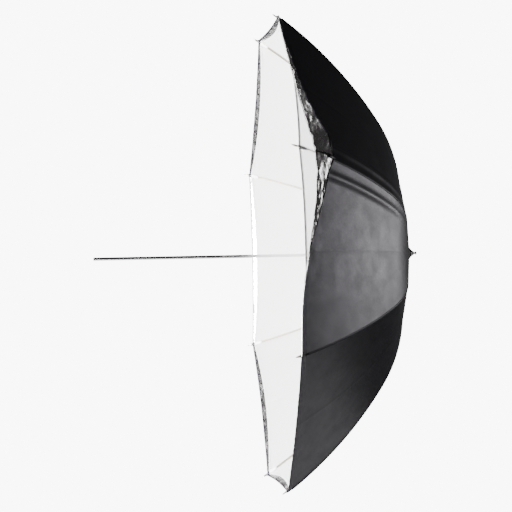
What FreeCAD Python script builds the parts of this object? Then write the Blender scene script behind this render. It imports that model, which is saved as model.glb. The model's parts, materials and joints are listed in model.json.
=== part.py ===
"""Umbrella reflector: a shaft, eight folding ribs, a white canopy and a removable cover.

The shaft lies along X, with the apex at +X and the free end at -X. The origin is on the
shaft's axis, in the stretch that a stand's umbrella holder grips. Everything round the
shaft repeats every 45 degrees. Rib 1 is 22.5 degrees from +Z towards -Y.
"""
import math
import os

import FreeCAD
import Part
import Sketcher
from FreeCAD import Placement, Rotation, Vector

RIBS = 8
STEP = 360.0 / RIBS
AXIS = Vector(1, 0, 0)

# Driving dimensions: alias, millimetres or degrees, what it is.
DIMENSIONS = [
    ("shaft_radius", 3.5, "outside of the shaft tube"),
    ("shaft_bore", 2.6, "inside of the shaft tube"),
    ("shaft_tail", 130, "origin to the free end"),
    ("crown_pivot_x", 543, "origin to the rib pivots"),
    ("pivot_circle", 8, "radius of the ring of pivots, at the crown and at the runner"),
    ("hub_radius", 10, "outside of the crown and of the runner's ring"),
    ("slot_floor", 5.7, "radius of the bottom of a pivot slot"),
    ("slot_width", 3.4, "width of a pivot slot"),
    ("wire_radius", 0.6, "crown wire"),
    ("wire_tunnel", 0.65, "tunnel for the wire through the crown"),
    ("eye_radius", 0.85, "rib's eye on the curved wire"),
    ("rib_start_x", 543, "rib's centre line starts at the pivot"),
    ("rib_start_radius", 8, "the same, from the shaft's axis"),
    ("rib_tilt", 10, "lean of the rib's straight stretch towards the opening"),
    ("rib_straight", 165, "straight stretch of a rib"),
    ("rib_bend_radius", 340, "first bend of a rib"),
    ("rib_bend_angle", 23.5, "turn of the first bend"),
    ("rib_end_radius", 910, "second bend of a rib"),
    ("rib_end_angle", 20, "turn of the second bend"),
    ("rib_width", 3.0, "rib and stretcher channel, across"),
    ("rib_depth", 2.6, "rib and stretcher channel, deep"),
    ("channel_web", 0.5, "sheet thickness of the channels"),
    ("eye_tail", 1.4, "metal past the middle of a pivot"),
    ("rivet_turn", 4.5, "where the stretcher's rivet sits, round the first bend"),
    ("rivet_radius", 0.8, "stretcher's rivet"),
    ("rivet_hole", 0.85, "rib's hole for the rivet"),
    ("fork_width", 4.6, "stretcher's fork, outside"),
    ("fork_gap", 3.3, "stretcher's fork, inside"),
    ("fork_reach", 16, "length of the fork"),
    ("gore_start_x", 544.8, "mid line of a canopy panel starts here"),
    ("gore_start_radius", 12, "the same, from the shaft's axis"),
    ("gore_tilt", 10.8, "lean of the mid line's straight stretch"),
    ("gore_straight", 147.7, "straight stretch of the mid line"),
    ("gore_bend_radius", 303.9, "first bend of the mid line"),
    ("gore_bend_angle", 24.9, "turn of the first bend"),
    ("gore_end_radius", 872, "second bend of the mid line"),
    ("gore_end_angle", 19.7, "turn of the second bend"),
    ("gore_reach", 230, "more than half a panel's width at the hem"),
    ("panel_gap", 0.2, "half the gap between two panels"),
    ("panel_sheet", 0.8, "thickness given to the canopy and to the cover"),
    ("cover_lift", 1.2, "inside of the cover from the inside of the canopy"),
    ("runner_bore", 3.55, "running fit on the shaft"),
    ("runner_sleeve", 5.7, "outside of the runner's sleeve"),
    ("runner_skirt", 30, "sleeve below the runner's pivots"),
    ("runner_top", 5, "sleeve above the runner's pivots"),
    ("catch_width", 1.6, "catch spring across"),
    ("catch_slot_width", 2.2, "slot for the catch spring"),
    ("catch_slot_length", 21, "slot for the catch spring"),
    ("stop_x", 153, "stop pin that the folded runner meets"),
    ("stop_radius", 1.2, "stop pin"),
    ("stop_length", 11, "stop pin"),
    ("neck_radius", 3.1, "rolled neck below the stop pin, where the clamping stretch ends"),
    ("neck_length", 2, "rolled neck"),
    ("plug_head", 3, "rubber plug beyond the end of the tube"),
    ("plug_length", 15, "rubber plug in all"),
    ("plug_chamfer", 0.8, "edge of the plug's head"),
    ("crown_below", 7, "crown from its pivots towards the opening"),
    ("crown_above", 6, "crown from its pivots to the top cap's seat"),
    ("cap_rim_radius", 11.5, "top cap at its seat"),
    ("cap_shoulder_radius", 9, "top cap above its rim"),
    ("cap_tip_radius", 4.6, "top cap at its small end"),
    ("cap_height", 8, "top cap along the shaft"),
    ("ferrule_stem", 16, "ferrule inside the tube"),
    ("ferrule_collar_radius", 4.2, "ferrule's collar"),
    ("ferrule_waist_radius", 2.4, "ferrule's waist"),
    ("ferrule_knob_radius", 3.4, "ferrule's knob"),
    ("leaf_sheet", 1.0, "catch spring's sheet"),
    ("leaf_foot", 0.2, "catch spring's back from the shaft's axis"),
    ("leaf_height", 5.2, "catch spring's nose from the shaft's axis"),
    ("trim_near", 8, "cut beside a panel starts at this radius"),
    ("trim_far", 600, "the same cut ends at this radius"),
    ("trim_side", 300, "width of the cut"),
]

doc = FreeCAD.newDocument("umbrella_reflector")
sheet = doc.addObject("Spreadsheet::Sheet", "Sizes")
nodes = []


def add_size(alias, value, note):
    """Put one named number on the next free row of the sheet."""
    row = add_size.rows + 1
    add_size.rows = row
    sheet.set(f"A{row}", note)
    sheet.set(f"B{row}", str(value))
    sheet.setAlias(f"B{row}", alias)


def size(alias):
    """Read one number from the sheet."""
    return float(getattr(sheet, alias))


def add_linkage_sizes():
    """Work out the stretcher so that it makes an isosceles triangle with its rib."""
    turn = math.radians(size("rivet_turn"))
    sag = size("rib_bend_radius") * (1 - math.cos(turn))
    run = size("rib_straight") + size("rib_bend_radius") * math.sin(turn)
    length = math.hypot(sag, run)
    lean = size("rib_tilt") + math.degrees(math.atan2(sag, run))
    spread = 2 * length * math.sin(math.radians(lean))
    add_size("rivet_sag", round(sag, 5), "rivet behind the rib's straight line")
    add_size("rivet_run", round(run, 5), "rivet along the rib's straight line")
    add_size("stretcher_length", round(length, 5), "between the stretcher's pivots")
    add_size("stretcher_lean", round(lean, 5), "stretcher's lean towards the apex")
    add_size("runner_pivot_x", round(size("crown_pivot_x") - spread, 5), "runner's pivots")
    doc.recompute()


def bind(thing, prop, alias):
    """Bind a property to an expression of the sheet's names."""
    words = alias.replace("@", "Sizes.")
    thing.setExpression(prop, words)


def make_body(name, spin=0.0):
    """A new body whose Z axis is turned about the shaft by spin degrees."""
    body = doc.addObject("PartDesign::Body", name)
    body.Label = name
    body.Placement = Placement(Vector(0, 0, 0), Rotation(AXIS, spin))
    nodes.append(body)
    return body


def new_sketch(body, name, plane):
    """A sketch on one of the body's own origin planes."""
    sketch = body.newObject("Sketcher::SketchObject", f"{body.Name}_{name}")
    features = body.Origin.OriginFeatures
    support = [feature for feature in features if feature.Role == plane][0]
    sketch.AttachmentSupport = [(support, "")]
    sketch.MapMode = "FlatFace"
    return sketch


def keep_size(sketch, name, constraint, expression):
    """Add a constraint under a name and bind it to the sheet."""
    index = sketch.addConstraint(constraint)
    sketch.renameConstraint(index, name)
    bind(sketch, f"Constraints.{name}", expression)


def polygon(sketch, corners):
    """Closed outline through corners, each given as two expressions of the sheet's names."""
    points = [Vector(evaluate(across), evaluate(up), 0) for across, up in corners]
    count = len(points)
    lines = [Part.LineSegment(points[i], points[(i + 1) % count]) for i in range(count)]
    sketch.addGeometry(lines, False)
    for i in range(count):
        sketch.addConstraint(Sketcher.Constraint("Coincident", i, 2, (i + 1) % count, 1))
    for i, (across, up) in enumerate(corners):
        place_point(sketch, i, 1, f"corner_{i}", across, up)


def evaluate(expression):
    """Value of a sum or product of the sheet's names, such as '@a + @b'."""
    return float(sheet.evalExpression(expression.replace("@", "")))


def place_point(sketch, geometry, end, name, across, up):
    """Hold one point of a sketch at two expressions, measured the way that keeps them positive."""
    for direction, expression in (("X", across), ("Y", up)):
        kind = f"Distance{direction}"
        value = evaluate(expression)
        if abs(value) < 1e-9:
            axis = -2 if direction == "X" else -1
            sketch.addConstraint(Sketcher.Constraint("PointOnObject", geometry, end, axis))
        elif value > 0:
            rule = Sketcher.Constraint(kind, -1, 1, geometry, end, value)
            keep_size(sketch, f"{name}_{direction}", rule, expression)
        else:
            rule = Sketcher.Constraint(kind, geometry, end, -1, 1, -value)
            keep_size(sketch, f"{name}_{direction}", rule, f"-({expression})")


def circle(sketch, radius, across="0", up="0"):
    """Circle whose radius and centre are expressions of the sheet's names."""
    centre = Vector(evaluate(across), evaluate(up), 0)
    index = sketch.addGeometry(Part.Circle(centre, Vector(0, 0, 1), evaluate(radius)), False)
    rule = Sketcher.Constraint("Radius", index, evaluate(radius))
    keep_size(sketch, f"radius_{index}", rule, radius)
    place_point(sketch, index, 3, f"centre_{index}", across, up)


def feature(body, kind, sketch, name):
    """A feature of the body that works on a sketch."""
    made = body.newObject(f"PartDesign::{kind}", f"{body.Name}_{name}")
    made.Profile = sketch
    sketch.Visibility = False
    body.Tip = made
    return made


def extrude(body, kind, sketch, name, length, both_ways=True, reverse=False):
    """Pad or pocket a sketch by a bound length."""
    made = feature(body, kind, sketch, name)
    made.Type = "Length"
    bind(made, "Length", length)
    if both_ways:
        made.SideType = "Symmetric"
    made.Reversed = reverse
    return made


def turned(body, corners, kind="Revolution", name="turning"):
    """Add or cut an outline, given as distances along the shaft and from it, turned about it."""
    sketch = new_sketch(body, f"{name}_outline", "XZ_Plane")
    polygon(sketch, corners)
    made = feature(body, kind, sketch, name)
    made.ReferenceAxis = (sketch, ["H_Axis"])
    made.Angle = 360
    return made


def strip_outline(body, name, line, outer, sheet_depth, tail, side="0"):
    """Outline of a thin strip: straight away from the shaft, then two bends to the opening.

    line is the prefix of the centre line's sizes, outer is the outer face's distance from it,
    and tail is how far the strip runs back past the start of the line.
    """
    sketch = new_sketch(body, name, "XZ_Plane")
    tilt = Rotation(Vector(0, 0, 1), size(f"{line}_tilt"))
    sketch.AttachmentOffset = Placement(Vector(0, 0, 0), tilt)
    bind(sketch, "AttachmentOffset.Base.x", f"@{line}_start_x")
    bind(sketch, "AttachmentOffset.Base.y", f"@{line}_start_radius")
    bind(sketch, "AttachmentOffset.Base.z", side)

    face = evaluate(outer)
    back = face - evaluate(sheet_depth)
    start = -evaluate(tail)
    straight = size(f"{line}_straight")
    first = math.radians(size(f"{line}_bend_angle"))
    last = first + math.radians(size(f"{line}_end_angle"))
    bend = size(f"{line}_bend_radius")
    end = size(f"{line}_end_radius")
    bend_centre = Vector(-bend, straight, 0)
    end_centre = bend_centre + Vector(math.cos(first), math.sin(first), 0) * (bend - end)

    def arc(centre, radius, angle_from, angle_to):
        return Part.ArcOfCircle(Part.Circle(centre, Vector(0, 0, 1), radius), angle_from, angle_to)

    def end_point(offset):
        return end_centre + Vector(math.cos(last), math.sin(last), 0) * (end + offset)

    sketch.addGeometry([
        Part.LineSegment(Vector(face, start, 0), Vector(face, straight, 0)),
        arc(bend_centre, bend + face, 0, first),
        arc(end_centre, end + face, first, last),
        Part.LineSegment(end_point(face), end_point(back)),
        arc(end_centre, end + back, first, last),
        arc(bend_centre, bend + back, 0, first),
        Part.LineSegment(Vector(back, start, 0), Vector(back, straight, 0)),
        Part.LineSegment(Vector(back, start, 0), Vector(face, start, 0)),
    ], False)
    joints = [("Tangent", 0, 2, 1, 1), ("Tangent", 1, 2, 2, 1), ("Tangent", 6, 2, 5, 1),
              ("Tangent", 5, 2, 4, 1), ("Coincident", 2, 2, 3, 1), ("Coincident", 3, 2, 4, 2),
              ("Coincident", 7, 1, 6, 1), ("Coincident", 7, 2, 0, 1), ("Vertical", 0),
              ("Vertical", 6), ("Horizontal", 7), ("Coincident", 1, 3, 5, 3),
              ("Coincident", 2, 3, 4, 3)]
    for joint in joints:
        sketch.addConstraint(Sketcher.Constraint(*joint))
    rule = Sketcher.Constraint
    keep_size(sketch, "face", rule("DistanceX", -1, 1, 0, 1, face), outer)
    keep_size(sketch, "depth", rule("DistanceX", 7, 1, 7, 2, face - back), sheet_depth)
    keep_size(sketch, "tail", rule("DistanceY", 0, 1, -1, 1, -start), tail)
    keep_size(sketch, "straight", rule("DistanceY", -1, 1, 0, 2, straight), f"@{line}_straight")
    keep_size(sketch, "bend", rule("Radius", 1, bend + face), f"@{line}_bend_radius + {outer}")
    keep_size(sketch, "end", rule("Radius", 2, end + face), f"@{line}_end_radius + {outer}")
    keep_size(sketch, "bend_turn", rule("Angle", 1, first), f"@{line}_bend_angle * 1 deg")
    keep_size(sketch, "end_turn", rule("Angle", 2, last - first), f"@{line}_end_angle * 1 deg")
    keep_size(sketch, "back_turn", rule("Angle", 4, last - first), f"@{line}_end_angle * 1 deg")
    return sketch


def make_shaft():
    body = make_body("shaft")
    sketch = new_sketch(body, "ring", "YZ_Plane")
    bind(sketch, "AttachmentOffset.Base.z", "@plug_head - @shaft_tail")
    circle(sketch, "@shaft_radius")
    circle(sketch, "@shaft_bore")
    tube_length = "@crown_pivot_x + @shaft_tail + @plug_head"
    extrude(body, "Pad", sketch, "tube", tube_length, both_ways=False)
    doc.recompute()
    slot = new_sketch(body, "catch_slot", "XY_Plane")
    low = "@runner_pivot_x - @runner_skirt - @catch_slot_length - 2"
    high = "@runner_pivot_x - @runner_skirt + 1"
    half = "@catch_slot_width / 2"
    polygon(slot, [(low, f"-{half}"), (high, f"-{half}"), (high, half), (low, half)])
    extrude(body, "Pocket", slot, "slotting", "@shaft_radius + 1", False, reverse=True)
    hole = new_sketch(body, "stop_hole", "XZ_Plane")
    circle(hole, "@stop_radius", "@stop_x")
    extrude(body, "Pocket", hole, "drilling", "@stop_length")
    doc.recompute()
    high = "@stop_x - @stop_radius - 1"
    low = f"{high} - @neck_length"
    turned(body, [(low, "@neck_radius"), (high, "@neck_radius"), (high, "@shaft_radius + 1"),
                  (low, "@shaft_radius + 1")], "Groove", "neck")


def make_end_plug():
    body = make_body("shaft_end_plug")
    end = "-@shaft_tail"
    neck = "@plug_head - @shaft_tail"
    inner = "@plug_length - @shaft_tail"
    turned(body, [(end, "0"), (end, "@shaft_radius - @plug_chamfer"),
                  ("@plug_chamfer - @shaft_tail", "@shaft_radius"), (neck, "@shaft_radius"),
                  (neck, "@shaft_bore"), (inner, "@shaft_bore"), (inner, "0")])


def slot_ring(body, low, high):
    """Cut one pivot slot over a length of the shaft and repeat it round the shaft."""
    slot = new_sketch(body, "slot_outline", "XZ_Plane")
    polygon(slot, [(low, "@slot_floor"), (high, "@slot_floor"),
                   (high, "@hub_radius + 1"), (low, "@hub_radius + 1")])
    cut = extrude(body, "Pocket", slot, "slot", "@slot_width")
    doc.recompute()
    pattern = body.newObject("PartDesign::PolarPattern", f"{body.Name}_slots")
    pattern.Originals = [cut]
    pattern.Axis = (body.Origin.OriginFeatures[0], [""])
    pattern.Angle = 360
    pattern.Occurrences = RIBS
    body.Tip = pattern


def make_crown():
    body = make_body("crown", STEP / 2)
    low = "@crown_pivot_x - @crown_below"
    high = "@crown_pivot_x + @crown_above"
    turned(body, [(low, "@shaft_radius"), (low, "@hub_radius - 1"),
                  (f"{low} + 1", "@hub_radius"), (high, "@hub_radius"),
                  (high, "@shaft_radius")])
    slot_ring(body, f"{low} - 1", f"{high} - 3")
    doc.recompute()
    tunnel = new_sketch(body, "tunnel_section", "XZ_Plane")
    circle(tunnel, "@wire_tunnel", "@crown_pivot_x", "@pivot_circle")
    groove = feature(body, "Groove", tunnel, "tunnel")
    groove.ReferenceAxis = (tunnel, ["H_Axis"])
    groove.Angle = 360


def make_crown_wire():
    wire = doc.addObject("Part::Torus", "crown_wire")
    wire.Label = "crown_wire"
    bind(wire, "Radius1", "@pivot_circle")
    bind(wire, "Radius2", "@wire_radius")
    wire.Placement = Placement(Vector(size("crown_pivot_x"), 0, 0), Rotation(Vector(0, 1, 0), 90))
    bind(wire, "Placement.Base.x", "@crown_pivot_x")
    nodes.append(wire)


def make_top_cap():
    body = make_body("top_cap")
    seat = "@crown_pivot_x + @crown_above"
    top = f"{seat} + @cap_height"
    turned(body, [(seat, "@runner_bore"), (seat, "@cap_rim_radius"),
                  (f"{seat} + 1.5", "@cap_rim_radius"), (f"{seat} + 2.5", "@cap_shoulder_radius"),
                  (top, "@cap_tip_radius"), (top, "@runner_bore")])


def make_ferrule():
    body = make_body("ferrule")
    seat = "@crown_pivot_x + @crown_above"
    stem = f"{seat} - @ferrule_stem"
    top = f"{seat} + @cap_height"
    turned(body, [(stem, "0"), (stem, "@shaft_bore"), (seat, "@shaft_bore"),
                  (seat, "@shaft_radius"), (top, "@shaft_radius"),
                  (top, "@ferrule_collar_radius"), (f"{top} + 1.5", "@ferrule_collar_radius"),
                  (f"{top} + 2.2", "@ferrule_waist_radius"),
                  (f"{top} + 4.2", "@ferrule_waist_radius"),
                  (f"{top} + 4.9", "@ferrule_knob_radius"), (f"{top} + 7", "@ferrule_knob_radius"),
                  (f"{top} + 8", "@ferrule_knob_radius - 1.2"), (f"{top} + 8", "0")])


def make_stop_pin():
    pin = doc.addObject("Part::Cylinder", "stop_pin")
    pin.Label = "stop_pin"
    bind(pin, "Radius", "@stop_radius")
    bind(pin, "Height", "@stop_length")
    pin.Placement = Placement(Vector(0, 0, 0), Rotation(Vector(1, 0, 0), 90))
    bind(pin, "Placement.Base.x", "@stop_x")
    bind(pin, "Placement.Base.y", "@stop_length / 2")
    nodes.append(pin)


def make_catch_spring():
    body = make_body("catch_spring")
    sketch = new_sketch(body, "leaf_outline", "XZ_Plane")
    foot = "@runner_pivot_x - @runner_skirt - @catch_slot_length"
    nose = "@runner_pivot_x - @runner_skirt - 0.6"
    back = f"{nose} - @leaf_sheet"
    under = "@leaf_height - @leaf_sheet"
    polygon(sketch, [(foot, "@leaf_foot"), (foot, "@leaf_foot + @leaf_sheet"),
                     (f"{nose} - 3.4", "@leaf_height"), (nose, "@leaf_height"),
                     (nose, "@leaf_foot"), (back, "@leaf_foot"), (back, under),
                     (f"{nose} - 3.2", under)])
    extrude(body, "Pad", sketch, "leaf", "@catch_width")


def make_runner():
    body = make_body("runner", STEP / 2)
    low = "@runner_pivot_x - @runner_skirt"
    ring_low = "@runner_pivot_x - 3.5"
    ring_high = "@runner_pivot_x + 3.5"
    high = "@runner_pivot_x + @runner_top"
    turned(body, [(low, "@runner_bore"), (low, "@runner_sleeve - 0.6"),
                  (f"{low} + 0.6", "@runner_sleeve"), (ring_low, "@runner_sleeve"),
                  (ring_low, "@hub_radius"), (ring_high, "@hub_radius"),
                  (ring_high, "@runner_sleeve"), (high, "@runner_sleeve"),
                  (high, "@runner_bore")])
    slot_ring(body, f"{ring_low} - 1", f"{ring_high} + 1")


def make_rib(number, spin):
    body = make_body(f"rib_{number}", spin)
    face = "@rib_depth / 2"
    blank = strip_outline(body, "blank", "rib", face, "@rib_depth", "@eye_tail")
    extrude(body, "Pad", blank, "bar", "@rib_width")
    doc.recompute()
    hollow_face = "@rib_depth / 2 - @channel_web"
    hollow = strip_outline(body, "hollow", "rib", hollow_face, "@rib_depth", "@eye_tail + 1")
    extrude(body, "Pocket", hollow, "channel", "@rib_width - 2 * @channel_web")
    holes = new_sketch(body, "holes", "XZ_Plane")
    tilt = Rotation(Vector(0, 0, 1), size("rib_tilt"))
    holes.AttachmentOffset = Placement(Vector(0, 0, 0), tilt)
    bind(holes, "AttachmentOffset.Base.x", "@rib_start_x")
    bind(holes, "AttachmentOffset.Base.y", "@rib_start_radius")
    circle(holes, "@eye_radius")
    circle(holes, "@rivet_hole", "-@rivet_sag", "@rivet_run")
    extrude(body, "Pocket", holes, "drilling", "@fork_width")


def stretcher_sketch(body, name):
    """A sketch whose Y axis runs along the stretcher, from the runner's pivot."""
    sketch = new_sketch(body, name, "XZ_Plane")
    lean = Rotation(Vector(0, 0, 1), -size("stretcher_lean"))
    sketch.AttachmentOffset = Placement(Vector(0, 0, 0), lean)
    bind(sketch, "AttachmentOffset.Base.x", "@runner_pivot_x")
    bind(sketch, "AttachmentOffset.Base.y", "@pivot_circle")
    return sketch


def rectangle(sketch, half, low, high):
    """Rectangle from -half to +half across, and from low to high."""
    polygon(sketch, [(f"-({half})", low), (half, low), (half, high), (f"-({half})", high)])


def make_stretcher(number, spin):
    body = make_body(f"stretcher_{number}", spin)
    half = "@rib_depth / 2"
    neck = "@stretcher_length - @fork_reach"
    bar = stretcher_sketch(body, "bar_outline")
    rectangle(bar, half, "-@eye_tail", neck)
    extrude(body, "Pad", bar, "bar", "@rib_width")
    fork = stretcher_sketch(body, "fork_outline")
    rectangle(fork, half, f"{neck} - 4", "@stretcher_length + @eye_tail")
    extrude(body, "Pad", fork, "fork", "@fork_width")
    doc.recompute()
    channel = stretcher_sketch(body, "channel_outline")
    polygon(channel, [("@channel_web - @rib_depth / 2", "6"), ("@rib_depth", "6"),
                      ("@rib_depth", neck), ("@channel_web - @rib_depth / 2", neck)])
    extrude(body, "Pocket", channel, "channel", "@rib_width - 2 * @channel_web")
    gap = stretcher_sketch(body, "gap_outline")
    rectangle(gap, "@rib_depth", neck, "@stretcher_length + 2 * @eye_tail")
    extrude(body, "Pocket", gap, "gap", "@fork_gap")
    doc.recompute()
    rivet = stretcher_sketch(body, "rivet_outline")
    circle(rivet, "@rivet_radius", "0", "@stretcher_length")
    extrude(body, "Pad", rivet, "rivet", "@fork_width + 0.8")


def make_panel(name, spin, side, lift):
    """Half of a gore: a thin curved sheet from the gore's mid plane to the plane of its rib.

    side is +1 for the half on the body's +Y side and -1 for the other.
    """
    body = make_body(name, spin)
    outer = f"{lift} + @panel_sheet"
    offset = "-@panel_gap" if side > 0 else "@panel_gap"
    blank = strip_outline(body, "blank", "gore", outer, "@panel_sheet", "1", offset)
    extrude(body, "Pad", blank, "sheet", "@gore_reach", False, reverse=side > 0)
    doc.recompute()
    waste = new_sketch(body, "waste", "YZ_Plane")
    bind(waste, "AttachmentOffset.Base.z", "@gore_start_x / 2")
    slope = math.tan(math.radians(STEP / 2))
    gap = f"@panel_gap / {math.cos(math.radians(STEP / 2)):.6f}"
    near_corner = (f"({slope:.6f} * @trim_near - {gap})", "@trim_near")
    far_corner = (f"({slope:.6f} * @trim_far - {gap})", "@trim_far")
    corners = [near_corner, far_corner, ("@trim_side", "@trim_far"), ("@trim_side", "@trim_near")]
    if side < 0:
        corners = [(f"-({across})", up) for across, up in corners]
    polygon(waste, corners)
    extrude(body, "Pocket", waste, "trimming", "2 * @gore_start_x")


def make_repeats():
    for number in range(1, RIBS + 1):
        spin = STEP * (number - 0.5)
        make_rib(number, spin)
        make_stretcher(number, spin)
        for letter, side in (("a", -1), ("b", 1)):
            mid_plane = spin + side * STEP / 2
            make_panel(f"canopy_panel_{number}{letter}", mid_plane, side, "0")
            make_panel(f"cover_panel_{number}{letter}", mid_plane, side, "@cover_lift")


def check_document():
    """Stop on any failed object or bad shape, before anything is written."""
    for thing in doc.Objects:
        if "Invalid" in thing.State or "Error" in thing.State:
            raise RuntimeError(f"{thing.Name} failed: {thing.State}")
    for node in nodes:
        if node.Shape.isNull() or not node.Shape.isValid():
            raise RuntimeError(f"{node.Label} has no valid shape")


add_size.rows = 0
for alias, value, note in DIMENSIONS:
    add_size(alias, value, note)
doc.recompute()
add_linkage_sizes()
make_shaft()
make_end_plug()
make_crown()
make_crown_wire()
make_top_cap()
make_ferrule()
make_stop_pin()
make_catch_spring()
make_runner()
make_repeats()
doc.recompute()
check_document()

os.makedirs("parts", exist_ok=True)
for node in nodes:
    node.Shape.exportStep(f"parts/{node.Label}.step")
    print(f"{node.Label}: {len(node.Shape.Solids)} solid, {node.Shape.Volume:.1f} mm3")
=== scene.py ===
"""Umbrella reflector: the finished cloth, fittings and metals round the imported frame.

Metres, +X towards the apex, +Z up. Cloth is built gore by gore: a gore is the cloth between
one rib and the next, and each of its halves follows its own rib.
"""
import json
import math

import bmesh
import bpy
import numpy as np
from mathutils import Matrix, Vector, noise


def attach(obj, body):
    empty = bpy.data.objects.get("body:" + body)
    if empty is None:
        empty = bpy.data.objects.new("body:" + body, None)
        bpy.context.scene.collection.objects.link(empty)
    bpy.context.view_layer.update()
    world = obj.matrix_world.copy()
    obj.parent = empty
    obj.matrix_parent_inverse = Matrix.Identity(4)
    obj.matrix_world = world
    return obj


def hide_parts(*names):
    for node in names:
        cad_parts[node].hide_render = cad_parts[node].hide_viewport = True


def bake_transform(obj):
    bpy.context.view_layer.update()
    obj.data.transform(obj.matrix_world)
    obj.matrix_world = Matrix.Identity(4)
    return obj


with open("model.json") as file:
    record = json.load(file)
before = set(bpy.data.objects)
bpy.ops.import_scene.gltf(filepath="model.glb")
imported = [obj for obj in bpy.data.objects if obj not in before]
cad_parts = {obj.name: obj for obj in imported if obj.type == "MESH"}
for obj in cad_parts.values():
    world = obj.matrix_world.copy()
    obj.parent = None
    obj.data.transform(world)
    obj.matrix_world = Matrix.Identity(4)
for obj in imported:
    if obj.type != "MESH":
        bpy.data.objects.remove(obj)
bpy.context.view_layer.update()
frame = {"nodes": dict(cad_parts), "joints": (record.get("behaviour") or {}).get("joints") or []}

JOINTS = {joint["name"]: joint for joint in frame["joints"]}
NODES = frame["nodes"]

# The ribs, as in the frame: a straight, then two bends towards the opening.
RIBS = 8
STEP = 2 * math.pi / RIBS
RIB_TILT = math.radians(10)
RIB_STRAIGHT = 0.165
BEND_RADIUS, BEND_ANGLE = 0.340, math.radians(23.5)
END_RADIUS, END_ANGLE = 0.910, math.radians(20)
RIB_LENGTH = RIB_STRAIGHT + BEND_RADIUS * BEND_ANGLE + END_RADIUS * END_ANGLE
PIVOT = Vector(JOINTS["rib_1_fold"]["pos_m"])
PIVOT_RADIUS = math.hypot(PIVOT.y, PIVOT.z)
FIRST_SPIN = math.atan2(-PIVOT.y, PIVOT.z)

# The cloth.
CANOPY_LIFT = 0.0030
COVER_LIFT = 0.0043
CLOTH_START = 0.0035
CLOTH_THICKNESS = 0.0003
CLOTH_GAP = 0.0008
COVER_LENGTH = RIB_LENGTH - 0.006
CANOPY_LENGTH = RIB_LENGTH - 0.011
CANOPY_SCALLOP = 0.013
COVER_SCALLOP = 0.004
CANOPY_HEM = 0.0045
COVER_HEM = 0.0024
HEM_ROLL = 0.0005
TACKS = 25
TACK_PINCH = 0.0011
PROFILE_STEP, PROFILE_REACH = 0.002, 0.65
ROWS = 96
COLUMNS = 36

# The corner of the cover that has slipped off its rib's tip and turned inside out.
SLIPPED_RIB = 2
SLIP = 0.049
FLAP = 0.043
LEAST_FLAP = 0.0015
CURL_RADIUS = 0.0024
FLAP_STAND = math.radians(48)
FULL_FLAP = 0.009
CURL_STEPS, FLAP_STEPS = 7, 14
TURN_STEPS, HEM_STEPS = 4, 3


def spin_of(number):
    """Angle of a rib about the shaft, from +Z towards -Y. Ribs count from 1."""
    return FIRST_SPIN + STEP * (number - 1)


def outward(spin):
    """Direction away from the shaft at an angle about it."""
    return Vector((0, -math.sin(spin), math.cos(spin)))


def rib_line(distance):
    """Place along the shaft, radius and slope of a rib's centre line, so far from its pivot."""
    x, radius, slope = PIVOT.x, PIVOT_RADIUS, RIB_TILT
    run = min(distance, RIB_STRAIGHT)
    x -= run * math.sin(slope)
    radius += run * math.cos(slope)
    left = distance - run
    for bend, angle in ((BEND_RADIUS, BEND_ANGLE), (END_RADIUS, END_ANGLE)):
        turn = min(left / bend, angle)
        x -= bend * (math.cos(slope) - math.cos(slope + turn))
        radius += bend * (math.sin(slope + turn) - math.sin(slope))
        slope += turn
        left -= turn * bend
    return x - left * math.sin(slope), radius + left * math.cos(slope), slope


def smooth(value, low, high):
    """0 below low, 1 above high, and a smooth rise between."""
    share = min(max((value - low) / (high - low), 0.0), 1.0)
    return share * share * (3 - 2 * share)


def gore_point(number, across, distance, lift):
    """Point of the gore after a rib: across runs from 0 on that rib to 1 on the next."""
    x, radius, slope = rib_line(distance)
    x += lift * math.cos(slope)
    radius += lift * math.sin(slope)
    near = outward(spin_of(number)) * radius
    far = outward(spin_of(number + 1)) * radius
    point = near.lerp(far, across)
    point.x = x
    return point


def gore_normal(number, distance):
    """Outward normal of a gore, which is straight from rib to rib."""
    slope = rib_line(distance)[2]
    middle = outward(spin_of(number) + STEP / 2)
    flatten = math.cos(STEP / 2)
    return (Vector((math.cos(slope) * flatten, 0, 0)) + middle * math.sin(slope)).normalized()


def hem_tangent(number, distance):
    """Direction down a gore's middle towards its hem."""
    slope = rib_line(distance)[2]
    middle = outward(spin_of(number) + STEP / 2)
    flatten = math.cos(STEP / 2)
    return (Vector((-math.sin(slope), 0, 0)) + middle * math.cos(slope) * flatten).normalized()


# Where the cover has slipped, on the gores each side of the slipped rib ------------------------

def slip_of(number, across):
    """How far the cover's edge has drawn back, and how wide the turned-out flap is there."""
    if number == SLIPPED_RIB - 1:
        return SLIP * across ** 1.7, LEAST_FLAP + FLAP * (0.28 * across + 0.72 * across ** 6)
    if number == SLIPPED_RIB:
        left = 1 - smooth(across, 0.1, 0.85)
        return SLIP * left, LEAST_FLAP + FLAP * math.exp(-across / 0.2) * left
    return 0.0, 0.0


def fold_wave(number, across, distance):
    """Height of the loose cloth's folds, which run from the slipped corner to the crown."""
    if number not in (SLIPPED_RIB - 1, SLIPPED_RIB):
        return 0.0
    side = across if number == SLIPPED_RIB else 1 - across
    reach = smooth(distance, 0.12, 0.40) * (1 - smooth(side, 0.25, 0.62))
    width = side * (distance + 0.02) * 0.75
    main = math.exp(-((width - 0.018 - 0.04 * distance) / 0.009) ** 2)
    second = 0.22 * math.exp(-((width - 0.095) / 0.026) ** 2)
    return 0.0034 * reach * (main + second)


def crease_wave(number, across, distance):
    """The storage crease down the middle of each gore and soft dimples between."""
    half_width = distance * 0.36 + 0.004
    offset = (across - 0.5) * 2 * half_width
    crease = 0.00025 * math.exp(-(offset / 0.003) ** 2) * smooth(distance, 0.08, 0.2)
    place = Vector((number * 3.1, offset * 5, distance * 4))
    dimple = 0.0020 * noise.noise(place) * smooth(distance, 0.03, 0.2)
    calm = math.sin(math.pi * across) ** 2
    return crease + dimple * calm


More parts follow.
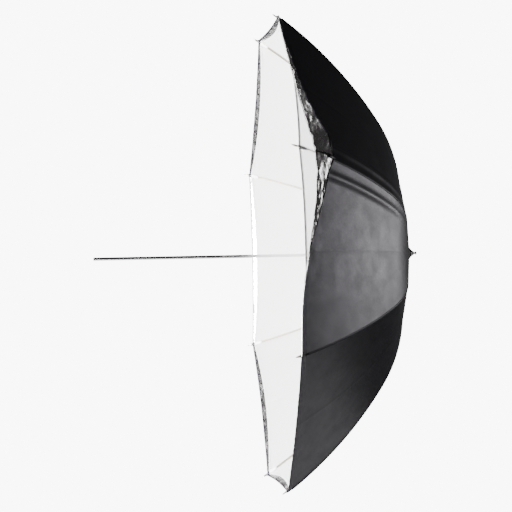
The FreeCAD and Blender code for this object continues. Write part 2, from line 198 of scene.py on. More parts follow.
def crumple(place, amount, pitch):
    """Small sharp crumples, as coated cloth makes: ridged noise at two sizes."""
    big = abs(noise.noise(place / pitch))
    small = abs(noise.noise(place / (pitch * 0.43) + Vector((7, 3, 5))))
    return amount * (big + 0.5 * small - 0.4)


# Sheets ----------------------------------------------------------------------------------------

def half_columns(side):
    """Fractions across a gore for the half on one side of its middle, edges included."""
    start = 0.0 if side == "b" else 0.5
    return [start + 0.5 * column / COLUMNS for column in range(COLUMNS + 1)]


def canopy_rows(number, side):
    """Rows of points of the white canopy, from the crown to its scalloped hem."""
    columns = half_columns(side)
    rows = []
    for row in range(ROWS + 1):
        share = row / ROWS
        points = []
        for across in columns:
            scallop = CANOPY_SCALLOP * 4 * across * (1 - across)
            hem = CANOPY_LENGTH - scallop
            distance = CLOTH_START + (hem - CLOTH_START) * share
            height = crease_wave(number, across, distance) - CLOTH_GAP * math.sin(math.pi * across)
            point = gore_point(number, across, distance, CANOPY_LIFT)
            points.append(point + gore_normal(number, distance) * height)
        rows.append(points)
    return rows


def cover_lift(distance):
    """The cover rises to meet the cap over the crown."""
    return COVER_LIFT + 0.0022 * math.exp(-max(distance - CLOTH_START, 0) / 0.012)


def cover_rows(number, side):
    """Rows of points of the cover: crown to edge, and round into the flap where it has one."""
    columns = half_columns(side)
    has_flap = number in (SLIPPED_RIB - 1, SLIPPED_RIB)
    rows = []
    for row in range(ROWS + 1):
        share = row / ROWS
        rows.append([cover_point(number, across, share) for across in columns])
    if has_flap:
        for step in range(1, CURL_STEPS + 1):
            turn = step / CURL_STEPS * math.pi
            rows.append([curl_point(number, across, turn) for across in columns])
        for step in range(1, FLAP_STEPS + 1):
            rows.append([flap_point(number, across, step / FLAP_STEPS) for across in columns])
    return rows


def cover_edge(number, across):
    """Distance from the pivot to the cover's edge, or to its fold where it has slipped."""
    scallop = COVER_SCALLOP * 4 * across * (1 - across)
    return COVER_LENGTH - scallop - slip_of(number, across)[0]


def cover_point(number, across, share):
    """Point of the cover, a share of the way from the crown to its edge."""
    edge = cover_edge(number, across)
    distance = CLOTH_START + (edge - CLOTH_START) * share
    height = crease_wave(number, across, distance) + fold_wave(number, across, distance)
    slip = slip_of(number, across)[0]
    point = gore_point(number, across, distance, cover_lift(distance))
    near_edge = smooth(distance, edge - 0.05, edge)
    rough = 0.0007 + 0.0019 * slip / SLIP
    height += near_edge * crumple(point, rough, 0.027) * math.sin(math.pi * across) ** 0.5
    pinch = (1 - abs(math.sin(across * math.pi * TACKS))) ** 3
    height -= TACK_PINCH * pinch * smooth(distance, edge - 0.011, edge)
    return point + gore_normal(number, distance) * height


def curl_point(number, across, turn):
    """Point on the small roll between the cover and its turned-out flap."""
    edge = cover_edge(number, across)
    base = cover_point(number, across, 1.0)
    flat = smooth(slip_of(number, across)[1], LEAST_FLAP, FULL_FLAP)
    radius = HEM_ROLL + (CURL_RADIUS - HEM_ROLL) * flat
    down = hem_tangent(number, edge)
    out = gore_normal(number, edge)
    return base + down * radius * math.sin(turn) + out * radius * (1 - math.cos(turn))


def flap_stand(number, across):
    """How steeply the flap stands off the cover: slack between the ribs, flat at the corner."""
    if number != SLIPPED_RIB - 1:
        return 0.0
    rise = 0.5 * smooth(across, 0.05, 0.3) + 0.5 * smooth(across, 0.4, 0.8)
    return FLAP_STAND * rise * (1 - smooth(across, 0.85, 1.0))


def flap_point(number, across, share):
    """Point on the flap, which lies back over the cover with the silver outwards."""
    flap = slip_of(number, across)[1]
    edge = cover_edge(number, across)
    stand = flap_stand(number, across)
    distance = edge - flap * share * math.cos(stand)
    base = gore_point(number, across, distance, cover_lift(distance))
    flat = smooth(flap, LEAST_FLAP, FULL_FLAP)
    lift = 2 * (HEM_ROLL + (CURL_RADIUS - HEM_ROLL) * flat)
    lift += 0.10 * (flap - LEAST_FLAP) * share ** 1.5
    place = base + Vector((4, 9, 2))
    lift += flat * abs(crumple(place, 0.0055, 0.021)) + 0.0022 * flat * noise.noise(place * 40)
    lift += flap * share * math.sin(stand)
    return base + gore_normal(number, edge) * max(lift, 0.0009)


def hem_rows(rows, width):
    """Rows that turn a sheet's edge in and lay it back on the sheet's inside."""
    edge, before = rows[-1], rows[-2]
    last = len(edge) - 1
    down, inward = [], []
    for column in range(last + 1):
        along = edge[min(column + 1, last)] - edge[max(column - 1, 0)]
        fall = (edge[column] - before[column]).normalized()
        down.append(fall)
        inward.append(along.cross(fall).normalized())
    radius = HEM_ROLL
    extra = []
    for step in range(1, TURN_STEPS + 1):
        turn = step / TURN_STEPS * math.pi
        extra.append([edge[i] + down[i] * radius * math.sin(turn)
                      + inward[i] * radius * (1 - math.cos(turn)) for i in range(last + 1)])
    turned = extra[-1]
    for step in range(1, HEM_STEPS + 1):
        extra.append([point - down[i] * width * step / HEM_STEPS
                      for i, point in enumerate(turned)])
    return extra


def lay_cloth_coordinates(mesh, rows):
    """A map in metres: along each row, and down each column, for the weave to follow."""
    layer = mesh.uv_layers.new(name="cloth")
    places = []
    down = [0.0] * len(rows[0])
    for row, points in enumerate(rows):
        along = 0.0
        for column, point in enumerate(points):
            if row:
                down[column] += (point - rows[row - 1][column]).length
            if column:
                along += (point - points[column - 1]).length
            places.append((along, down[column]))
    for loop in mesh.loops:
        layer.data[loop.index].uv = places[loop.vertex_index]


def finished(name, mesh, modifiers=()):
    """A plain mesh object at the origin, with the given modifiers applied."""
    piece = bpy.data.objects.new(name, mesh)
    bpy.context.scene.collection.objects.link(piece)
    if not modifiers:
        return piece
    for kind, settings in modifiers:
        modifier = piece.modifiers.new(kind.title(), kind)
        for key, value in settings.items():
            setattr(modifier, key, value)
    depsgraph = bpy.context.evaluated_depsgraph_get()
    plain = bpy.data.meshes.new_from_object(piece.evaluated_get(depsgraph))
    plain.name = name
    plain.set_sharp_from_angle(angle=math.radians(60))
    piece.modifiers.clear()
    piece.data = plain
    return piece


def sheet_mesh(name, rows, outside, inside):
    """A sheet over rows of points. Its outside is the side away from the shaft."""
    width = len(rows[0])
    points = [point for row in rows for point in row]
    faces = []
    for row in range(len(rows) - 1):
        for column in range(width - 1):
            first = row * width + column
            faces.append((first, first + width, first + width + 1, first + 1))
    mesh = bpy.data.meshes.new(name)
    mesh.from_pydata(points, [], faces)
    lay_cloth_coordinates(mesh, rows)
    mesh.polygons.foreach_set("use_smooth", [True] * len(mesh.polygons))
    mesh.materials.append(outside)
    mesh.materials.append(inside)
    mesh.update()
    return mesh


def heights_over_ribs(points, middle):
    """How far each point lies outside the ribs' own curved surface, square to it."""
    count = round(PROFILE_REACH / PROFILE_STEP)
    profile = np.array([rib_line(i * PROFILE_STEP) for i in range(count)])
    radius = points @ np.array(middle) / math.cos(STEP / 2)
    across = points[:, 0, None] - profile[None, :, 0]
    up = radius[:, None] - profile[None, :, 1]
    nearest = np.argmin(across ** 2 + up ** 2, axis=1)
    rows = np.arange(len(points))
    slope = profile[nearest, 2]
    return across[rows, nearest] * np.cos(slope) + up[rows, nearest] * np.sin(slope)


def follow_pleat(piece, number, side):
    """Bake a half gore's place into its mesh, and work out each point's angle round from its rib
    and its height over the ribs; the points are not moved.
    """
    spin = spin_of(number)
    turn = STEP / 2 if side == "b" else -STEP / 2
    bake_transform(piece)
    points = np.empty(len(piece.data.vertices) * 3)
    piece.data.vertices.foreach_get("co", points)
    points = points.reshape(-1, 3)
    angle = np.arctan2(-points[:, 1], points[:, 2]) - spin
    angle = (angle + math.pi) % (2 * math.pi) - math.pi
    height = heights_over_ribs(points, outward(spin + turn)) - CANOPY_LIFT
    return piece


def rib_frame(number, distance, lift=0.0):
    """Point on a rib, with its outward and sideways directions there."""
    x, radius, slope = rib_line(distance)
    away = outward(spin_of(number))
    out = Vector((math.cos(slope), 0, 0)) + away * math.sin(slope)
    onward = Vector((-math.sin(slope), 0, 0)) + away * math.cos(slope)
    point = Vector((x, 0, 0)) + away * radius + out * lift
    return point, out, onward.cross(out)


def swept_mesh(name, frames, profile, material):
    """A closed solid of a profile swept through frames of (point, out, sideways, size)."""
    points, faces = [], []
    count = len(profile)
    for point, out, sideways, size in frames:
        points += [point + sideways * across * size + out * up * size for across, up in profile]
    for ring in range(len(frames) - 1):
        for i in range(count):
            j = (i + 1) % count
            low, high = ring * count, (ring + 1) * count
            faces.append((low + i, low + j, high + j, high + i))
    faces.append(tuple(reversed(range(count))))
    faces.append(tuple(range((len(frames) - 1) * count, len(frames) * count)))
    mesh = bpy.data.meshes.new(name)
    mesh.from_pydata(points, [], faces)
    mesh.materials.append(material)
    make_normals_outward(mesh)
    mesh.polygons.foreach_set("use_smooth", [True] * len(mesh.polygons))
    return mesh


def make_normals_outward(mesh):
    """Turn the faces of a closed mesh to face out."""
    shape = bmesh.new()
    shape.from_mesh(mesh)
    bmesh.ops.recalc_face_normals(shape, faces=shape.faces)
    shape.to_mesh(mesh)
    shape.free()


def oval(width, height, count=12):
    """An oval outline, width across and height up."""
    turns = [2 * math.pi * i / count for i in range(count)]
    return [(width / 2 * math.cos(turn), height / 2 * math.sin(turn)) for turn in turns]


# Materials -------------------------------------------------------------------------------------

def new_material(name, color, roughness, metallic=0.0, specular=0.5):
    """A material with its plain values on the shader, and the parts that patterns need."""
    material = bpy.data.materials.new(name)
    material.use_nodes = True
    shader = material.node_tree.nodes["Principled BSDF"]
    shader.inputs["Base Color"].default_value = (*color, 1)
    shader.inputs["Roughness"].default_value = roughness
    shader.inputs["Metallic"].default_value = metallic
    shader.inputs["Specular IOR Level"].default_value = specular
    return material, material.node_tree, shader


def add_node(tree, kind, settings=None, **inputs):
    """A node with its settings and inputs given; an input may be a value or a socket.

    An input is given by its name, or as n0, n1 and so on by its number.
    """
    node = tree.nodes.new(kind)
    for key, value in (settings or {}).items():
        setattr(node, key, value)
    for key, value in inputs.items():
        by_number = key[0] == "n" and key[1:].isdigit()
        socket = node.inputs[int(key[1:]) if by_number else key.replace("_", " ")]
        if isinstance(value, bpy.types.NodeSocket):
            tree.links.new(value, socket)
        else:
            socket.default_value = value
    return node


def coordinates(tree, source="Object", scale=(1, 1, 1)):
    """Object coordinates or the cloth's own map, scaled."""
    if source == "cloth":
        place = add_node(tree, "ShaderNodeUVMap", {"uv_map": "cloth"}).outputs["UV"]
    else:
        place = add_node(tree, "ShaderNodeTexCoord").outputs["Object"]
    return add_node(tree, "ShaderNodeMapping", Vector=place, Scale=scale).outputs["Vector"]


def noise_value(tree, place, scale, detail, roughness):
    """Noise at each place, about 0.5 on average."""
    node = add_node(tree, "ShaderNodeTexNoise", Vector=place, Scale=scale, Detail=detail,
                    Roughness=roughness)
    return node.outputs["Fac"]


def remap(tree, value, low, high, to_low, to_high):
    """Stretch a value from one range to another."""
    node = add_node(tree, "ShaderNodeMapRange", n0=value, n1=low, n2=high, n3=to_low, n4=to_high)
    return node.outputs[0]


def combine(tree, operation, first, second):
    """Two values put together by a sum, product or quotient."""
    node = add_node(tree, "ShaderNodeMath", {"operation": operation}, n0=first, n1=second)
    return node.outputs[0]


def blend_colors(tree, share, first, second):
    """Colour between two, by a share."""
    node = tree.nodes.new("ShaderNodeMix")
    node.data_type = "RGBA"
    tree.links.new(share, node.inputs["Factor"])
    for socket, color in ((node.inputs[6], first), (node.inputs[7], second)):
        if isinstance(color, bpy.types.NodeSocket):
            tree.links.new(color, socket)
        else:
            socket.default_value = (*color, 1)
    return node.outputs[2]


def add_bump(tree, shader, height, strength, distance, under=None):
    """Bump on the shader, on top of another bump if one is given."""
    bump = add_node(tree, "ShaderNodeBump", Height=height, Strength=strength, Distance=distance)
    if under is not None:
        tree.links.new(under.outputs["Normal"], bump.inputs["Normal"])
    tree.links.new(bump.outputs["Normal"], shader.inputs["Normal"])
    return bump


WAVES_A_METRE = 0.314


def weave_height(tree, pitch):
    """Plain weave: two sets of threads at right angles, pitch apart, in the cloth's own map."""
    place = coordinates(tree, "cloth")
    threads = []
    for direction in ("X", "Y"):
        wave = add_node(tree, "ShaderNodeTexWave",
                        {"wave_type": "BANDS", "bands_direction": direction},
                        Vector=place, Scale=WAVES_A_METRE / pitch, Distortion=0.0)
        threads.append(wave.outputs["Fac"])
    return combine(tree, "MULTIPLY", threads[0], threads[1])


def white_nylon():
    """The canopy: white, lets some light through, lightly rumpled."""
    material, tree, shader = new_material("white_nylon", (0.86, 0.858, 0.85), 0.62, specular=0.3)
    shader.inputs["Subsurface Weight"].default_value = 0.7
    shader.inputs["Subsurface Radius"].default_value = (1.0, 1.0, 1.0)
    shader.inputs["Subsurface Scale"].default_value = 0.004
    place = coordinates(tree)
    mottling = noise_value(tree, place, 9.0, 4.0, 0.6)
    share = remap(tree, mottling, 0.3, 0.7, 0.0, 1.0)
    color = blend_colors(tree, share, (0.84, 0.835, 0.82), (0.88, 0.88, 0.875))
    tree.links.new(color, shader.inputs["Base Color"])
    rumple = add_bump(tree, shader, noise_value(tree, place, 22.0, 4.0, 0.55), 0.35, 0.0012)
    add_bump(tree, shader, weave_height(tree, 0.0006), 0.25, 0.0001, rumple)
    return material


def black_polyester():
    """The cover outside: black with a faint sheen."""
    material, tree, shader = new_material("black_polyester", (0.010, 0.009, 0.012), 0.38,
                                          specular=0.45)
    shader.inputs["Specular Tint"].default_value = (0.93, 0.88, 1.0, 1)
    place = coordinates(tree)
    mottling = noise_value(tree, place, 14.0, 5.0, 0.6)
    share = remap(tree, mottling, 0.3, 0.7, 0.0, 1.0)
    color = blend_colors(tree, share, (0.0065, 0.006, 0.0085), (0.0105, 0.0095, 0.013))
    tree.links.new(color, shader.inputs["Base Color"])
    rough = remap(tree, noise_value(tree, place, 30.0, 4.0, 0.6), 0.3, 0.7, 0.34, 0.44)
    tree.links.new(rough, shader.inputs["Roughness"])
    rumple = add_bump(tree, shader, noise_value(tree, place, 16.0, 4.0, 0.5), 0.3, 0.0014)
    add_bump(tree, shader, weave_height(tree, 0.0007), 0.3, 0.00012, rumple)
    return material


def silver_coating():
    """The cover inside: crinkled silver, creased along the hem."""
    material, tree, shader = new_material("silver_coating", (0.62, 0.61, 0.60), 0.26, metallic=1.0)
    place = coordinates(tree)
    wrinkles = noise_value(tree, coordinates(tree, "cloth", (9.0, 34.0, 1.0)), 1.0, 4.0, 0.55)
    fine = noise_value(tree, place, 70.0, 4.0, 0.6)
    height = combine(tree, "ADD", wrinkles, combine(tree, "MULTIPLY", fine, 0.05))
    share = remap(tree, fine, 0.35, 0.65, 0.0, 1.0)
    color = blend_colors(tree, share, (0.56, 0.55, 0.54), (0.68, 0.68, 0.68))
    tree.links.new(color, shader.inputs["Base Color"])
    rough = remap(tree, noise_value(tree, place, 120.0, 3.0, 0.6), 0.3, 0.7, 0.20, 0.36)
    tree.links.new(rough, shader.inputs["Roughness"])
    crumpled = add_bump(tree, shader, height, 0.7, 0.010)
    add_bump(tree, shader, weave_height(tree, 0.0007), 0.12, 0.0001, crumpled)
    return material


def thread(name, color):
    """Sewing thread with a fine twist."""
    material, tree, shader = new_material(name, color, 0.6, specular=0.3)
    place = coordinates(tree)
    twist = noise_value(tree, place, 900.0, 2.0, 0.5)
    share = remap(tree, twist, 0.3, 0.7, 0.0, 1.0)
    dark = tuple(channel * 0.7 for channel in color)
    tree.links.new(blend_colors(tree, share, dark, color), shader.inputs["Base Color"])
    add_bump(tree, shader, twist, 0.4, 0.0001)
    return material


def metal(name, color, roughness, grain=(4.0, 260.0, 260.0), wear=0.08):
    """Metal with drawn grain along X, small scratches and slightly dull patches."""
    material, tree, shader = new_material(name, color, roughness, metallic=1.0)
    drawn = noise_value(tree, coordinates(tree, scale=grain), 3.0, 4.0, 0.6)
    patches = noise_value(tree, coordinates(tree), 35.0, 4.0, 0.6)
    share = remap(tree, patches, 0.35, 0.7, 0.0, 1.0)
    dull = tuple(channel * 0.82 for channel in color)
    tree.links.new(blend_colors(tree, share, color, dull), shader.inputs["Base Color"])
    rough = combine(tree, "ADD", remap(tree, drawn, 0.3, 0.7, roughness * 0.8, roughness * 1.3),
                    combine(tree, "MULTIPLY", share, wear))
    tree.links.new(rough, shader.inputs["Roughness"])
    add_bump(tree, shader, drawn, 0.08, 0.0002)
    return material


def plastic(name, color, roughness, grain=900.0):
    """Moulded plastic with a fine grain and rubbed patches."""
    material, tree, shader = new_material(name, color, roughness)
    place = coordinates(tree)
    patches = noise_value(tree, place, 60.0, 4.0, 0.6)
    share = remap(tree, patches, 0.4, 0.7, 0.0, 1.0)
    rubbed = tuple(channel * 1.6 + 0.004 for channel in color)
    tree.links.new(blend_colors(tree, share, color, rubbed), shader.inputs["Base Color"])
    tree.links.new(remap(tree, patches, 0.3, 0.7, roughness * 1.15, roughness * 0.85),
                   shader.inputs["Roughness"])
    add_bump(tree, shader, noise_value(tree, place, grain, 2.0, 0.5), 0.2, 0.0001)
    return material


# Geometry Nodes: stitches along a line ---------------------------------------------------------

def stitch_tree(material):
    """Thread stitches laid end to end along a line, a pitch apart."""
    tree = bpy.data.node_groups.new("stitches", "GeometryNodeTree")
    for name, kind in (("Line", "NodeSocketGeometry"), ("Pitch", "NodeSocketFloat"),
                       ("Stitch", "NodeSocketFloat"), ("Thread", "NodeSocketFloat")):
        tree.interface.new_socket(name, in_out="INPUT", socket_type=kind)
    tree.interface.new_socket("Stitches", in_out="OUTPUT", socket_type="NodeSocketGeometry")
    into = tree.nodes.new("NodeGroupInput")
    out = tree.nodes.new("NodeGroupOutput")
    curve = add_node(tree, "GeometryNodeMeshToCurve", Mesh=into.outputs["Line"])
    spaced = add_node(tree, "GeometryNodeResampleCurve", Curve=curve.outputs["Curve"])
    spaced.mode = "LENGTH"
    tree.links.new(into.outputs["Pitch"], spaced.inputs["Length"])
    bead = add_node(tree, "GeometryNodeMeshUVSphere", Segments=6, Rings=5)
    tree.links.new(into.outputs["Thread"], bead.inputs["Radius"])
    tangent = tree.nodes.new("GeometryNodeInputTangent")
    turn = add_node(tree, "FunctionNodeAlignRotationToVector", {"axis": "Z"},
                    Vector=tangent.outputs["Tangent"])
    longer = combine(tree, "DIVIDE", into.outputs["Stitch"], into.outputs["Thread"])
    half = combine(tree, "MULTIPLY", longer, 0.5)
    shape = add_node(tree, "ShaderNodeCombineXYZ", X=1.0, Y=1.0, Z=half)
    placed = add_node(tree, "GeometryNodeInstanceOnPoints", Points=spaced.outputs["Curve"],
                      Instance=bead.outputs["Mesh"], Rotation=turn.outputs["Rotation"],
                      Scale=shape.outputs["Vector"])
    real = add_node(tree, "GeometryNodeRealizeInstances", Geometry=placed.outputs["Instances"])
    painted = add_node(tree, "GeometryNodeSetMaterial", Geometry=real.outputs["Geometry"],
                       Material=material)
    tree.links.new(painted.outputs["Geometry"], out.inputs["Stitches"])
    return tree


def stitches_along(name, lines, tree, pitch=0.0042, stitch=0.0030, width=0.00028):
    """A mesh of stitches along each line of points."""
    points, edges = [], []
    for line in lines:
        first = len(points)
        points += line
        edges += [(first + i, first + i + 1) for i in range(len(line) - 1)]
    mesh = bpy.data.meshes.new(name)
    mesh.from_pydata(points, edges, [])
    piece = bpy.data.objects.new(name, mesh)
    bpy.context.scene.collection.objects.link(piece)
    modifier = piece.modifiers.new("Stitches", "NODES")
    modifier.node_group = tree
    sizes = {"Pitch": pitch, "Stitch": stitch, "Thread": width}
    for socket in tree.interface.items_tree:
        if socket.name in sizes:
            modifier[socket.identifier] = sizes[socket.name]
    depsgraph = bpy.context.evaluated_depsgraph_get()
    plain = bpy.data.meshes.new_from_object(piece.evaluated_get(depsgraph))
    piece.modifiers.clear()
    piece.data = plain
    plain.polygons.foreach_set("use_smooth", [True] * len(plain.polygons))
    return piece


# Camera, lights and floor ----------------------------------------------------------------------

VIEW_TARGET = Vector((0.254, 0.0, 0.0))
VIEW_DISTANCE = 4.42
VIEW_AZIMUTH = math.radians(-6.05)
VIEW_ELEVATION = math.radians(-1.0)
VIEW_ROLL = math.radians(-1.2)
WORLD_LIGHT = 0.045
WORLD_SHOWN = 9.0
FLOOR_RADIUS, FLOOR_HEIGHT = 0.75, -0.64


def add_camera():
    """The camera, almost square to the shaft and a little turned on its own axis."""
    data = bpy.data.cameras.new("camera")
    data.sensor_width = 36.0
    data.lens = 145.1
    data.shift_x = -0.0336
    data.shift_y = -0.0005
    data.clip_end = 100.0
    camera = bpy.data.objects.new("camera", data)
    back = Vector((math.sin(VIEW_AZIMUTH) * math.cos(VIEW_ELEVATION),
                   -math.cos(VIEW_AZIMUTH) * math.cos(VIEW_ELEVATION), math.sin(VIEW_ELEVATION)))
    camera.location = VIEW_TARGET + back * VIEW_DISTANCE
    facing = (-back).to_track_quat("-Z", "Y").to_matrix().to_4x4()
    turn = Matrix.Rotation(VIEW_ROLL, 4, "Z")
    camera.rotation_euler = (facing @ turn).to_euler()
    bpy.context.scene.collection.objects.link(camera)
    bpy.context.scene.camera = camera


def add_light(name, place, target, size, watts):
    """A white rectangular softbox at a place, facing a target."""
    data = bpy.data.lights.new(name, "AREA")
    data.shape = "RECTANGLE"
    data.size, data.size_y = size
    data.energy = watts
    light = bpy.data.objects.new(name, data)
    light.location = place
    light.rotation_euler = (Vector(target) - Vector(place)).to_track_quat("-Z", "Y").to_euler()
    bpy.context.scene.collection.objects.link(light)


def add_studio():
    """A dim world that shows white to the camera, four softboxes and a small pale floor."""
    world = bpy.data.worlds.new("studio")
    world.use_nodes = True
    tree = world.node_tree
    background = tree.nodes["Background"]
    path = tree.nodes.new("ShaderNodeLightPath")
    strength = add_node(tree, "ShaderNodeMapRange", n0=path.outputs["Is Camera Ray"],
                        n3=WORLD_LIGHT, n4=WORLD_SHOWN)
    tree.links.new(strength.outputs[0], background.inputs["Strength"])
    background.inputs["Color"].default_value = (1, 1, 1, 1)
    bpy.context.scene.world = world
    add_light("opening_softbox", (-3.3, -1.1, -0.15), (0.35, 0.2, 0.05), (1.6, 1.1), 1500)
    add_light("upper_softbox", (-1.5, -0.1, 3.4), (0.3, -0.3, 0.3), (1.0, 0.5), 26)
    add_light("side_softbox", (3.2, 0.25, 0.10), (0.4, -0.4, 0), (2.8, 0.5), 38)
    add_light("back_softbox", (-1.9, 3.3, 0.4), (0.3, 0.3, 0), (1.6, 1.2), 90)
    floor = bpy.data.objects.new("floor", disc_mesh(FLOOR_RADIUS, FLOOR_HEIGHT))
    bpy.context.scene.collection.objects.link(floor)
    paint = new_material("floor_paint", (0.60, 0.60, 0.60), 0.8, specular=0.1)[0]
    floor.data.materials.append(paint)


def disc_mesh(radius, height, count=96):
    """A level disc below the umbrella."""
    turns = [2 * math.pi * i / count for i in range(count)]
    rim = [(VIEW_TARGET.x + radius * math.cos(t), radius * math.sin(t), height) for t in turns]
    mesh = bpy.data.meshes.new("floor")
    mesh.from_pydata(rim, [], [tuple(range(count))])
    return mesh


add_camera()
add_studio()

WHITE = white_nylon()
BLACK = black_polyester()
SILVER = silver_coating()
BLACK_THREAD = thread("black_thread", (0.016, 0.015, 0.018))
WHITE_THREAD = thread("white_thread", (0.62, 0.61, 0.58))
TIP_STEEL = metal("tip_steel", (0.62, 0.60, 0.56), 0.30, grain=(90.0, 90.0, 90.0))

METALS_AND_PLASTICS = {
    "shaft": metal("polished_steel", (0.70, 0.70, 0.71), 0.13, wear=0.06),
    "shaft_end_plug": plastic("black_rubber", (0.016, 0.016, 0.017), 0.62),
    "crown": plastic("black_hub_plastic", (0.014, 0.014, 0.015), 0.36),
    "crown_wire": metal("hub_wire_steel", (0.60, 0.58, 0.55), 0.28, grain=(80.0, 80.0, 80.0)),
    "top_cap": plastic("black_cap_plastic", (0.013, 0.013, 0.014), 0.30),
    "ferrule": metal("turned_aluminium", (0.58, 0.58, 0.60), 0.24, grain=(700.0, 30.0, 30.0)),
    "stop_pin": metal("pin_steel", (0.60, 0.59, 0.57), 0.25, grain=(60.0, 60.0, 60.0)),
    "catch_spring": metal("catch_steel", (0.66, 0.65, 0.63), 0.22),
    "runner": plastic("black_runner_plastic", (0.015, 0.015, 0.016), 0.38),
}
RIB_STEEL = metal("rib_steel", (0.44, 0.40, 0.33), 0.34, grain=(60.0, 60.0, 60.0))
STRETCHER_STEEL = metal("stretcher_steel", (0.46, 0.42, 0.36), 0.30, grain=(60.0, 60.0, 60.0))


def repaint(node, material):
    """Give a CAD piece a new material."""
    data = NODES[node].data
    data.materials.clear()
    data.materials.append(material)


for node, material in METALS_AND_PLASTICS.items():
    repaint(node, material)
for number in range(1, RIBS + 1):
    repaint(f"rib_{number}", RIB_STEEL)
    repaint(f"stretcher_{number}", STRETCHER_STEEL)


# Cloth -----------------------------------------------------------------------------------------

CLOTH_SOLID = (("SOLIDIFY", {"thickness": CLOTH_THICKNESS, "offset": -1.0, "material_offset": 1,
                             "material_offset_rim": 0, "use_even_offset": False}),)
# Cut sizes of a half gore, hem included: its width at the hem, its length along the rib.
CANOPY_CUT, CANOPY_CUT_AREA = (0.201, 0.614), 0.0637
COVER_CUT, COVER_CUT_AREA = (0.203, 0.618), 0.0658


def gore_of(number, side):
    """The gore that a rib's half belongs to: the one after the rib, or the one before it."""
    return number if side == "b" else (number - 2) % RIBS + 1


def add_cloth(number, side):
    """The canopy and the cover of one half gore, in place of their two plain panels."""
    gore = gore_of(number, side)
    canopy = canopy_rows(gore, side)
    canopy += hem_rows(canopy, CANOPY_HEM)
    cover = cover_rows(gore, side)
    cover += hem_rows(cover, COVER_HEM)
    for name, node, slot, rows, outside, inside, cut, area in (
        (f"canopy_cloth_{number}{side}", f"canopy_panel_{number}{side}", "canopy_cloth",
         canopy, WHITE, WHITE, CANOPY_CUT, CANOPY_CUT_AREA),
        (f"cover_cloth_{number}{side}", f"cover_panel_{number}{side}", "cover_cloth",
         cover, BLACK, SILVER, COVER_CUT, COVER_CUT_AREA),
    ):
        piece = finished(name, sheet_mesh(name, rows, outside, inside), CLOTH_SOLID)
        follow_pleat(piece, number, side)
        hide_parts(node)


for number in range(1, RIBS + 1):
    for side in "ab":
        add_cloth(number, side)


# What is sewn on -------------------------------------------------------------------------------

def spread(first, last, count):
    """Distances evenly spaced from first to last."""
    return [first + (last - first) * i / (count - 1) for i in range(count)]


def along_rib(number, first, last, lift, count, size=None):
    """Frames along a rib, for sweeping: size gives the profile's scale by share of the way."""
    frames = []
    for i, distance in enumerate(spread(first, last, count)):
        point, out, sideways = rib_frame(number, distance, lift)
        frames.append((point, out, sideways, size(i / (count - 1)) if size else 1.0))
    return frames


def rounded(share):
    """Scale along a sewn pocket: small at the crown end, full in the middle, narrow at the tip."""
    return 0.35 + 0.65 * smooth(share, 0.0, 0.25) - 0.35 * smooth(share, 0.6, 1.0)


def pointed(share):
    """Scale along a rib tip, which narrows to its end."""
    return 1.0 - 0.75 * smooth(share, 0.7, 1.0)


def add_rib_end(number):
    """The rib's metal tip, and the pockets that hold both cloths to it."""
    frames = along_rib(number, RIB_LENGTH - 0.008, RIB_LENGTH + 0.006, 0, POCKET_RINGS, pointed)
    tip = swept_mesh(f"rib_tip_{number}", frames, oval(0.0030, 0.0028), TIP_STEEL)
    piece = finished(f"rib_tip_{number}", tip)
    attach(piece, f"rib_{number}")
    first, last = CANOPY_LENGTH - 0.024, CANOPY_LENGTH + 0.002
    frames = along_rib(number, first, last, 0, POCKET_RINGS, rounded)
    pocket = swept_mesh(f"canopy_pocket_{number}", frames, oval(0.0085, 0.0052), WHITE)
    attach(finished(f"canopy_pocket_{number}", pocket), f"rib_{number}")
    first, last = COVER_LENGTH - 0.016, COVER_LENGTH + 0.002
    frames = along_rib(number, first, last, 0.001, POCKET_RINGS, rounded)
    if number == SLIPPED_RIB:
        frames = flap_pocket_frames(number)
    pocket = swept_mesh(f"cover_pocket_{number}", frames, oval(0.0078, 0.0066), BLACK)
    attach(finished(f"cover_pocket_{number}", pocket), f"rib_{number}")


def flap_pocket_frames(number):
    """The slipped corner's own pocket, lying empty on the turned-out silver over its rib."""
    out, sideways = rib_frame(number, COVER_LENGTH - SLIP)[1:]
    frames = []
    for i, share in enumerate(spread(0.55, 0.97, POCKET_RINGS)):
        point = flap_point(number, 0.0, share) + out * 0.0012
        frames.append((point, out * 0.5, sideways, rounded(i / (POCKET_RINGS - 1))))
    return frames


STITCH = stitch_tree(BLACK_THREAD)
WHITE_STITCH = stitch_tree(WHITE_THREAD)
SEAM_STITCH_OFFSET = 0.0016
CANOPY_STITCH_OFFSET = 0.0042
SEAM_START, STITCH_START = 0.030, 0.032
POCKET_RINGS = 14


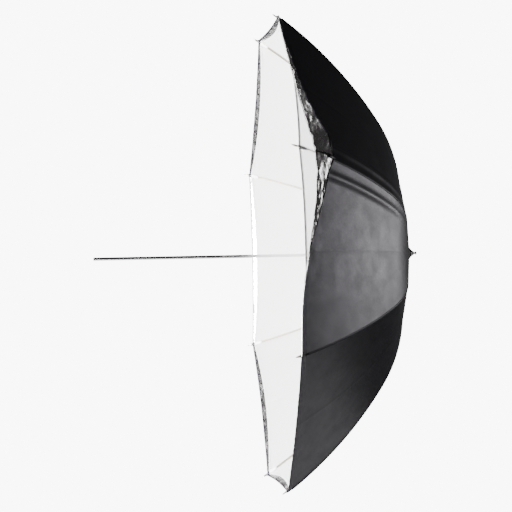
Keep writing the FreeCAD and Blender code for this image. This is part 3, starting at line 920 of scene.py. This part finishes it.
def rib_line_points(number, first, last, lift, offset, count=60):
    """Points along a rib, lifted off it and offset to one side."""
    points = []
    for distance in spread(first, last, count):
        point, out, sideways = rib_frame(number, distance, lift)
        points.append(point + sideways * offset)
    return points


def add_seams(number):
    """The seam over a rib on the cover, and its two rows of stitches, and those of the canopy."""
    end = COVER_LENGTH - 0.012
    if number == SLIPPED_RIB:
        end = COVER_LENGTH - SLIP - 0.002
    seam = swept_mesh(f"cover_seam_{number}", along_rib(number, SEAM_START, end, COVER_LIFT, 70),
                      oval(0.0052, 0.0016, 10), BLACK)
    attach(finished(f"cover_seam_{number}", seam), f"rib_{number}")
    lines = [rib_line_points(number, STITCH_START, end, COVER_LIFT + 0.0007, offset)
             for offset in (-SEAM_STITCH_OFFSET, SEAM_STITCH_OFFSET)]
    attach(stitches_along(f"cover_seam_stitches_{number}", lines, STITCH), f"rib_{number}")
    end = CANOPY_LENGTH - 0.03
    lines = [rib_line_points(number, STITCH_START, end, CANOPY_LIFT - 0.0004, offset)
             for offset in (-CANOPY_STITCH_OFFSET, CANOPY_STITCH_OFFSET)]
    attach(stitches_along(f"canopy_seam_stitches_{number}", lines, WHITE_STITCH), f"rib_{number}")


def hem_line(rows, back, away):
    """Line of points along a sheet's hem, a distance back from its edge and off its face."""
    last = len(rows[-1]) - 1
    line = []
    for column in range(last + 1):
        edge, before = rows[-1][column], rows[-2][column]
        rise = (before - edge).normalized()
        along = rows[-1][min(column + 1, last)] - rows[-1][max(column - 1, 0)]
        line.append(edge + rise * back + rise.cross(along).normalized() * away)
    return line


def add_hem_stitches(number, side):
    """A row of stitches along each hem, on the face that the hem is turned to."""
    gore = gore_of(number, side)
    canopy = hem_line(canopy_rows(gore, side), 0.0035, -0.0012)
    stitches = stitches_along(f"canopy_hem_stitches_{number}{side}", [canopy], WHITE_STITCH)
    follow_pleat(stitches, number, side)
    cover = hem_line(cover_rows(gore, side), 0.0018, 0.0002)
    stitches = stitches_along(f"cover_hem_stitches_{number}{side}", [cover], STITCH)
    follow_pleat(stitches, number, side)


for number in range(1, RIBS + 1):
    add_rib_end(number)
    add_seams(number)
    for side in "ab":
        add_hem_stitches(number, side)
